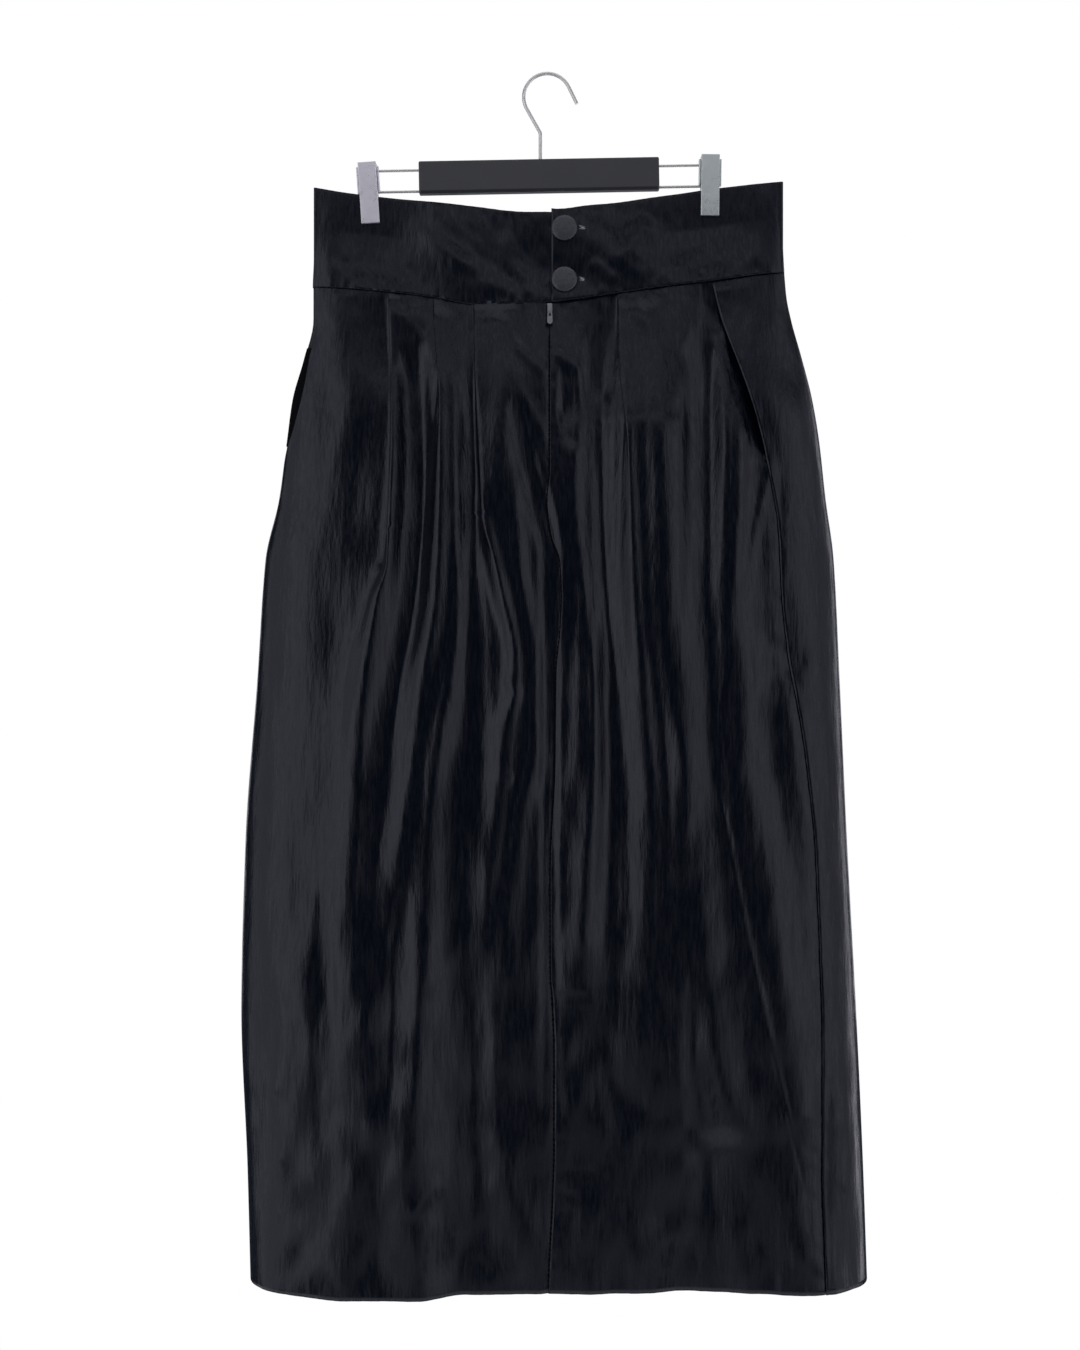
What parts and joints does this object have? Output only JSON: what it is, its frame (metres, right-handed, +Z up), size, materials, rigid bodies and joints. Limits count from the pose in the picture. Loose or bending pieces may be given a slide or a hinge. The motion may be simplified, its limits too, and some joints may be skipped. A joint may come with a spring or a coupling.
{
  "type": "satin maxi skirt on a clip hanger",
  "caption": "High-waisted maxi skirt in crisp black satin with a pleated waist, side pockets, a buttoned back waistband, a concealed zip and a back vent, held by a clip hanger.",
  "frame": {"origin": "top of the inside of the hook, where the hanger rests on a rail", "axes": "+Z up, the buttoned back of the skirt faces -Y, +X to the right as that back is seen"},
  "size_m": [0.557, 0.1609, 1.076],
  "materials": {
    "satin": "crisp black satin weave with slub streaks and a cool sheen",
    "button_cloth": "matte charcoal covering cloth",
    "zip_metal": "dull dark metal",
    "wire_steel": "drawn steel wire",
    "bar_plastic": "dark grey soft-touch sleeve",
    "clip_chrome": "plated pressed steel with light scuffs"
  },
  "bodies": {
    "skirt_and_hanger": {"skirt_front": "satin", "skirt_back_left": "satin", "skirt_back_right": "satin", "waistband_front": "satin", "waistband_back_left": "satin", "waistband_back_right": "satin", "button_upper": "button_cloth", "button_lower": "button_cloth", "zip_slider": "zip_metal", "hanger_hook": "wire_steel", "hanger_rail_left": "wire_steel", "hanger_rail_right": "wire_steel", "hanger_bar": "bar_plastic", "clip_spring_left": "wire_steel", "clip_spring_right": "wire_steel", "clip_front_jaw_left": "clip_chrome", "clip_back_jaw_left": "clip_chrome", "clip_front_jaw_right": "clip_chrome", "clip_back_jaw_right": "clip_chrome"},
    "pull_tab": {"zip_pull_tab": "zip_metal"}
  },
  "joints": [
    {"name": "pull_tab_hinge", "type": "hinge", "parent": "skirt_and_hanger", "child": "pull_tab", "pos_m": [0.0022, -0.01485, -0.2149], "axis": [-1, 0, 0], "range_deg": [0, 120]}
  ]
}
